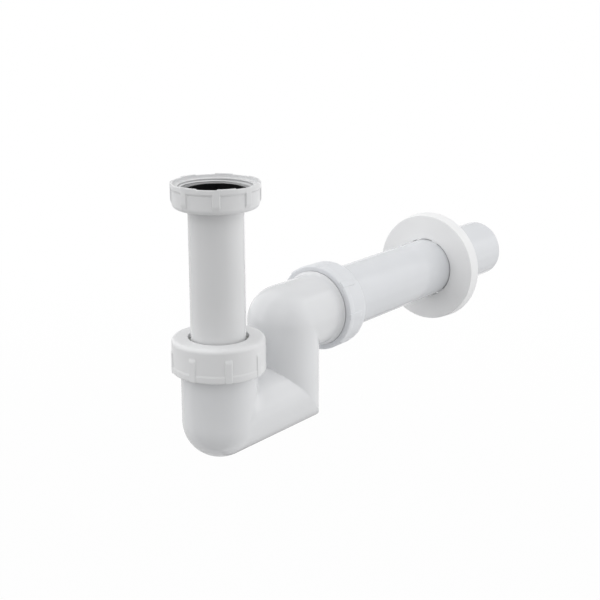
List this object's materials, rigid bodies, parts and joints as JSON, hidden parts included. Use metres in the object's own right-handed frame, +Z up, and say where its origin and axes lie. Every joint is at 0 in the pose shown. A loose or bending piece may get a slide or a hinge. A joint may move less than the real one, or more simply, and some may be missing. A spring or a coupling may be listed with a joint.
{
  "type": "tubular trap",
  "caption": "Tubular basin trap: a U-shaped body with a dip tube and union nut on top, and a straight wall pipe with a round cover flange.",
  "frame": {"origin": "centre of the inlet washer's top face, inside the mouth of the inlet nut, where the basin waste's tail stands", "axes": "+Z up along the dip tube and out of the inlet nut's mouth, +Y along the wall pipe towards the wall, +X to the right seen from the front"},
  "size_m": [0.0764, 0.3214, 0.1633],
  "materials": {
    "white_plastic": "white moulded polypropylene, semi-gloss",
    "black_rubber": "black moulded rubber, matt",
    "slip_plastic": "natural translucent polyethylene, matt"
  },
  "bodies": {
    "inlet_fixing": {"inlet_nut": "white_plastic", "inlet_washer": "black_rubber"},
    "dip_tube": {"inlet_tube": "white_plastic"},
    "chamber_grip": {"chamber_seal": "black_rubber"},
    "body": {"trap_body": "white_plastic"},
    "chamber_ring": {"chamber_slip_ring": "slip_plastic"},
    "chamber_union": {"chamber_nut": "white_plastic"},
    "outlet_grip": {"outlet_seal": "black_rubber"},
    "wall_pipe": {"outlet_pipe": "white_plastic"},
    "flange": {"wall_flange": "white_plastic"},
    "outlet_ring": {"outlet_slip_ring": "slip_plastic"},
    "outlet_union": {"outlet_nut": "white_plastic"}
  },
  "joints": [
    {"name": "tube_swivel", "type": "hinge", "parent": "inlet_fixing", "child": "dip_tube", "pos_m": [0, 0, -0.005], "axis": [0, 0, 1], "continuous": true},
    {"name": "height_slide", "type": "slide", "parent": "dip_tube", "child": "chamber_grip", "axis": [0, 0, 1], "range_m": [-0.03, 0.009]},
    {"name": "body_swivel", "type": "hinge", "parent": "chamber_grip", "child": "body", "pos_m": [0, 0, -0.0919], "axis": [0, 0, 1], "continuous": true},
    {"name": "chamber_ring_slide", "type": "slide", "parent": "body", "child": "chamber_ring", "axis": [0, 0, 1], "range_m": [0, 0.00693]},
    {"name": "chamber_nut_turn", "type": "hinge", "parent": "chamber_ring", "child": "chamber_union", "pos_m": [0, 0, -0.0919], "axis": [0, 0, 1], "range_deg": [0, 1080]},
    {"name": "pipe_swivel", "type": "hinge", "parent": "body", "child": "outlet_grip", "pos_m": [0, 0.1041, -0.0907], "axis": [0, 1, 0], "continuous": true},
    {"name": "pipe_slide", "type": "slide", "parent": "outlet_grip", "child": "wall_pipe", "axis": [0, 1, 0], "range_m": [0, 0.018]},
    {"name": "flange_slide", "type": "slide", "parent": "wall_pipe", "child": "flange", "axis": [0, 1, 0], "range_m": [-0.09, 0.054]},
    {"name": "outlet_ring_slide", "type": "slide", "parent": "body", "child": "outlet_ring", "axis": [0, 1, 0], "range_m": [0, 0.00693]},
    {"name": "outlet_nut_turn", "type": "hinge", "parent": "outlet_ring", "child": "outlet_union", "pos_m": [0, 0.1041, -0.0907], "axis": [0, 1, 0], "range_deg": [0, 1080]}
  ],
  "couplings": [
    {"joint": "chamber_ring_slide", "follows": "chamber_nut_turn", "m_per_rad": 0.00036749},
    {"joint": "outlet_ring_slide", "follows": "outlet_nut_turn", "m_per_rad": 0.00036749}
  ]
}
